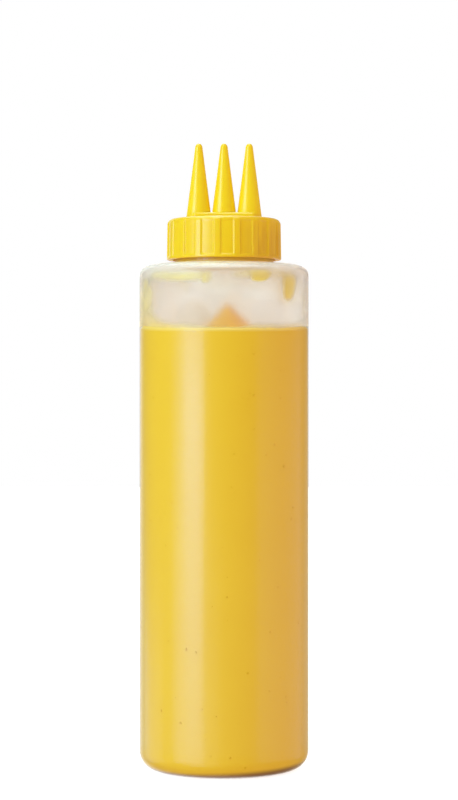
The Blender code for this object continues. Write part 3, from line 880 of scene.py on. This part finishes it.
def makeNozzle(name, x):
    # a hollow cone with a domed tip and a bore that narrows to the outlet, turned and moved along X
    c = cap
    footZ, domeZ = c["top"] - c["intoPlate"], c["tipZ"] - c["tipRise"]
    coneEnd = domeZ - c["coneEnd"]
    domeR = coneRadius(domeZ)
    rimAngle = math.degrees(math.acos((c["outlet"] + c["rim"]) / domeR))
    domeHeight = c["tipRise"] / math.sin(math.radians(rimAngle))
    outletEnd = (c["outlet"], c["tipZ"] - c["outletDepth"])
    profile = joinRuns(
        (poleRadius, footZ),
        straight((coneRadius(footZ), footZ), (coneRadius(coneEnd), coneEnd), 30),
        ellipseArc(0, domeZ, domeR, domeHeight, c["domeStart"], rimAngle, 10),
        straight((c["outlet"], c["tipZ"] - c["rim"]), outletEnd, 6),
        straight(outletEnd, (c["nozzleBore"], c["tipZ"] - c["boreDepth"]), 6),
    )
    grid = turnProfile(profile, c["nozzleSegments"])
    grid[:, :, 0] += x
    return closedTurn(name, grid, 50)


def makeCap():
    look = capPlastic()
    skirt = makeCapSkirt()
    pieces = [skirt, makeBar()]
    for name, side in (("nozzleLeft", -1), ("nozzleMiddle", 0), ("nozzleRight", 1)):
        pieces.append(makeNozzle(name, side * cap["nozzleSpacing"]))
    for piece in pieces:
        piece.data.materials.append(look)
        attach(piece, "root")
    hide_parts("cap")


# camera, light and floor

view = {
    "distance": 0.930, "height": 0.1487, "side": 0.0020, "focal": 103.5, "sensor": 36,
    "near": 0.01, "far": 50,
}


def makeCamera():
    camera = bpy.data.objects.new("camera", bpy.data.cameras.new("camera"))
    camera.location = (view["side"], -view["distance"], view["height"])
    camera.rotation_euler = (math.radians(90), 0, 0)
    camera.data.lens = view["focal"]
    camera.data.sensor_width = view["sensor"]
    camera.data.clip_start = view["near"]
    camera.data.clip_end = view["far"]
    bpy.context.scene.collection.objects.link(camera)
    bpy.context.scene.camera = camera


light = {
    "ambient": (0.815, 0.642, 0.495), "key": (1.95, 3.8, 3.7), "back": (0.81, 0.67, 0.53),
    "strip": (0.22, 0.46, 1.0), "overhead": (0.55, 0.8, 1.0), "rim": (1.0, 0.72, 0.28),
    "through": (0.785, 0.752, 0.685),  # what shows through the wall, a little dimmer than the white behind it
    "around": 0.2, "front": 0.03, "behind": 0.9,  # what the surfaces mirror to the sides, in front and behind
    "darkFrom": -29.0, "darkTo": 44.5, "darkEdge": 1.5, "brightWay": (-0.17, 0.985, 0), "brightFrom": 30.0,
    "brightTo": 17.0,
    "tiltAbove": 0.5, "aim": 0.65,  # panels above this height tilt down to this share of the bottle's
    "stripDistance": 1.03,
    "strips": (  # name, azimuth, width, lower and upper end, strength: these only show as reflections
        ("stripFoot", -41.0, 0.48, -0.70, -0.30, 1.4), ("stripBase", -41.0, 0.48, -0.30, -0.08, 2.6),
        ("stripLow", -41.2, 0.48, -0.08, 0.08, 5.4), ("stripBody", -40.8, 0.50, 0.08, 0.209, 10.2),
        ("stripHead", -42.0, 0.42, 0.209, 0.275, 0.5), ("stripCap", -51.0, 0.46, 0.275, 0.75, 7.0),
        ("stripEdge", -59.5, 0.15, -0.40, 0.209, 3.6), ("stripFade", -68.0, 0.16, -0.40, 0.209, 1.5),
        ("stripSoft", -30.0, 0.90, -0.70, 0.0, 0.7), ("veilFront", 66.0, 0.80, -0.30, 0.209, 0.8),
        ("veilSide", 107.0, 0.70, -0.30, 0.209, 0.8), ("veilLeft", -112.0, 0.80, -0.50, -0.05, 1.2)),
    "panels": (  # name, azimuth, distance, height, width, tall, colour, strength, the rays that see it
        ("keyLeft", -48, 1.18, 0.70, 0.9, 0.9, "key", 1.0, "diffuse"),
        ("backRight", 125, 1.3, 0.60, 0.9, 0.9, "back", 1.0, "diffuse"),
        ("overhead", -45, 0.20, 1.30, 0.9, 0.9, "overhead", 5.4, "glossy"),
        ("topBack", -170, 0.60, 1.12, 0.7, 0.5, "overhead", 3.6, "glossy"),
        ("rimRight", 157, 1.03, -0.25, 0.55, 0.918, "rim", 0.4, "glossy"),
        ("rimLeft", -154, 1.03, -0.25, 0.35, 0.918, "rim", 0.28, "glossy")),
}


def addPanel(name, azimuth, distance, height, width, tall, colour, strength, seenBy):
    # a soft panel that faces the bottle; azimuth from the front (-Y) towards +X; watts = radiance * area * pi
    a = math.radians(azimuth)
    aim = Vector((0, 0, bottleHigh.z * light["aim"] if height > light["tiltAbove"] else height))
    top = max(light[colour])
    lamp = bpy.data.lights.new(name, "AREA")
    lamp.shape = "RECTANGLE"
    lamp.size, lamp.size_y = width, tall
    lamp.color = tuple(c / top for c in light[colour])
    lamp.energy = top * strength * math.pi * width * tall
    panel = bpy.data.objects.new(name, lamp)
    panel.location = (distance * math.sin(a), -distance * math.cos(a), height)
    panel.rotation_euler = (aim - panel.location).to_track_quat("-Z", "Y").to_euler()
    panel.visible_camera = panel.visible_transmission = False
    panel.visible_diffuse = seenBy == "diffuse"
    panel.visible_glossy = seenBy == "glossy"
    bpy.context.scene.collection.objects.link(panel)


def makeWorld():
    # soft light for diffuse rays, white for the camera, and for reflections around + (front - around) dark
    # + (behind - around) bright, where dark and bright are sectors of the horizon
    world = bpy.data.worlds.new("studio")
    bpy.context.scene.world = world
    world.use_nodes = True
    tree = world.node_tree

    direction = addNode(tree, "ShaderNodeTexCoord", {}, {}, "Generated")

    def vectorMath(operation, inputs, out=0):
        return addNode(tree, "ShaderNodeVectorMath", {"operation": operation}, inputs, out)

    level = vectorMath("NORMALIZE", {0: vectorMath("MULTIPLY", {0: direction, 1: (1, 1, 0)})})

    def sector(way, outerDeg, innerDeg):
        # 1 within innerDeg of a way on the horizon, 0 beyond outerDeg
        towards = vectorMath("DOT_PRODUCT", {0: level, 1: way}, "Value")
        return ramp(towards, math.cos(math.radians(outerDeg)), math.cos(math.radians(innerDeg)))

    middle = math.radians((light["darkFrom"] + light["darkTo"]) / 2)
    half = (light["darkTo"] - light["darkFrom"]) / 2
    darkWay, edge = (math.sin(middle), -math.cos(middle), 0), light["darkEdge"]
    dark = sector(darkWay, half + edge, half - edge)
    bright = sector(light["brightWay"], light["brightFrom"], light["brightTo"])
    around = light["around"]
    mirrored = dark * (light["front"] - around) + bright * (light["behind"] - around) + around
    glossy, seen, through = (addNode(tree, "ShaderNodeLightPath", {}, {}, f"Is {ray} Ray")
                             for ray in ("Glossy", "Camera", "Transmission"))
    plain = glossy.math("MAXIMUM", seen.math("MAXIMUM", through))
    soft = mixColour(plain, light["ambient"] + (1,), (1, 1, 1, 1))
    background = tree.nodes["Background"]
    plug(background, "Color", mixColour(through, soft, light["through"] + (1,)))
    plug(background, "Strength", glossy * (1 - through) * (mirrored - 1.0) + 1.0)


def makeLights():
    away = light["stripDistance"]
    for name, azimuth, width, low, high, strength in light["strips"]:
        addPanel(name, azimuth, away, (low + high) / 2, width, high - low, "strip", strength, "glossy")
    for panel in light["panels"]:
        addPanel(*panel)


floorPaint = {
    "half": 3.0, "below": 0.2 * mm, "colour": (0.93, 0.93, 0.93, 1), "roughness": 0.7, "specular": 0.2,
    "glow": (0.8, 0.82, 0.85, 1),
}


def makeFloor():
    f = floorPaint
    points = f["half"] * np.array([[-1, -1, 0], [1, -1, 0], [1, 1, 0], [-1, 1, 0]])
    floor = meshFrom("floor", points, [[0, 1, 2, 3]])
    floor.data.materials.append(startMaterial("floorPaint", {
        "Base Color": f["colour"], "Roughness": f["roughness"], "Specular IOR Level": f["specular"],
        "Emission Color": f["glow"], "Emission Strength": 1.0,
    })[0])
    floor.location.z = -f["below"]
    floor.visible_glossy = floor.visible_diffuse = floor.visible_shadow = False


makeCamera()
print("camera set")
makeBottle()
print("bottle made")
makeSauce()
makeSpecks()
print("sauce made")
makeDrips()
makeFilms()
makeTideFilm()
makeNeckFilm()
print("drips and films made")
makeCap()
print("cap made")
makeLights()
makeWorld()
makeFloor()
print("light and floor set")

bpy.context.scene.view_settings.view_transform = "Standard"
bpy.context.scene.view_settings.look = "None"
